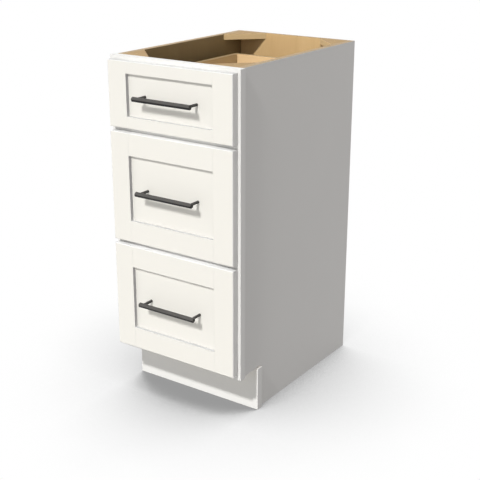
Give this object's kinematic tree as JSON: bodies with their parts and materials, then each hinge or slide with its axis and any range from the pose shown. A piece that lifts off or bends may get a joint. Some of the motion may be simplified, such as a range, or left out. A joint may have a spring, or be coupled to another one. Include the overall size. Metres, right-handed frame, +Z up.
{
  "type": "base cabinet with drawers",
  "caption": "Narrow face-frame base cabinet with overlay framed drawer fronts, bar handles, ball slides and a recessed toe kick, open on top for a worktop.",
  "frame": {"origin": "on the floor, under the middle of the whole cabinet with its handles", "axes": "+Z up, +Y towards the wall, -Y out of the drawers, +X to the right seen from the front"},
  "size_m": [0.381, 0.586, 0.8763],
  "materials": {
    "white_paint": "satin white paint on hardwood",
    "side_panel": "satin white on the outer face of plywood",
    "case_plywood": "clear-finished birch plywood",
    "gusset_wood": "clear-finished plywood",
    "box_plywood": "clear-finished birch plywood",
    "slide_steel": "zinc-plated rolled steel",
    "handle_metal": "dark satin metal",
    "screw_steel": "zinc-plated"
  },
  "bodies": {
    "carcass": {"left_stile": "white_paint", "right_stile": "white_paint", "top_rail": "white_paint", "upper_mid_rail": "white_paint", "lower_mid_rail": "white_paint", "bottom_rail": "white_paint", "left_side": "side_panel", "right_side": "side_panel", "cabinet_bottom": "case_plywood", "cabinet_back": "case_plywood", "toe_board": "white_paint", "front_left_gusset": "gusset_wood", "front_right_gusset": "gusset_wood", "rear_left_gusset": "gusset_wood", "rear_right_gusset": "gusset_wood", "slide_cabinet_members": "slide_steel", "rear_slide_brackets": "slide_steel"},
    "top_slide_middle": {"top_slide_middle_members": "slide_steel"},
    "top_drawer": {"top_slide_drawer_members": "slide_steel", "top_front_left_stile": "white_paint", "top_front_right_stile": "white_paint", "top_front_upper_rail": "white_paint", "top_front_lower_rail": "white_paint", "top_front_panel": "white_paint", "top_box_left_side": "box_plywood", "top_box_right_side": "box_plywood", "top_box_front": "box_plywood", "top_box_back": "box_plywood", "top_box_base": "box_plywood", "top_handle": "handle_metal", "top_handle_screws": "screw_steel"},
    "middle_slide_middle": {"middle_slide_middle_members": "slide_steel"},
    "middle_drawer": {"middle_slide_drawer_members": "slide_steel", "middle_front_left_stile": "white_paint", "middle_front_right_stile": "white_paint", "middle_front_upper_rail": "white_paint", "middle_front_lower_rail": "white_paint", "middle_front_panel": "white_paint", "middle_box_left_side": "box_plywood", "middle_box_right_side": "box_plywood", "middle_box_front": "box_plywood", "middle_box_back": "box_plywood", "middle_box_base": "box_plywood", "middle_handle": "handle_metal", "middle_handle_screws": "screw_steel"},
    "bottom_slide_middle": {"bottom_slide_middle_members": "slide_steel"},
    "bottom_drawer": {"bottom_slide_drawer_members": "slide_steel", "bottom_front_left_stile": "white_paint", "bottom_front_right_stile": "white_paint", "bottom_front_upper_rail": "white_paint", "bottom_front_lower_rail": "white_paint", "bottom_front_panel": "white_paint", "bottom_box_left_side": "box_plywood", "bottom_box_right_side": "box_plywood", "bottom_box_front": "box_plywood", "bottom_box_back": "box_plywood", "bottom_box_base": "box_plywood", "bottom_handle": "handle_metal", "bottom_handle_screws": "screw_steel"}
  },
  "joints": [
    {"name": "top_drawer_slide", "type": "slide", "parent": "carcass", "child": "top_drawer", "axis": [0, -1, 0], "range_m": [0, 0.44]},
    {"name": "top_slide_middle_travel", "type": "slide", "parent": "carcass", "child": "top_slide_middle", "axis": [0, -1, 0], "range_m": [0, 0.22]},
    {"name": "middle_drawer_slide", "type": "slide", "parent": "carcass", "child": "middle_drawer", "axis": [0, -1, 0], "range_m": [0, 0.44]},
    {"name": "middle_slide_middle_travel", "type": "slide", "parent": "carcass", "child": "middle_slide_middle", "axis": [0, -1, 0], "range_m": [0, 0.22]},
    {"name": "bottom_drawer_slide", "type": "slide", "parent": "carcass", "child": "bottom_drawer", "axis": [0, -1, 0], "range_m": [0, 0.44]},
    {"name": "bottom_slide_middle_travel", "type": "slide", "parent": "carcass", "child": "bottom_slide_middle", "axis": [0, -1, 0], "range_m": [0, 0.22]}
  ],
  "couplings": [
    {"joint": "top_slide_middle_travel", "follows": "top_drawer_slide", "ratio": 0.5},
    {"joint": "middle_slide_middle_travel", "follows": "middle_drawer_slide", "ratio": 0.5},
    {"joint": "bottom_slide_middle_travel", "follows": "bottom_drawer_slide", "ratio": 0.5}
  ]
}
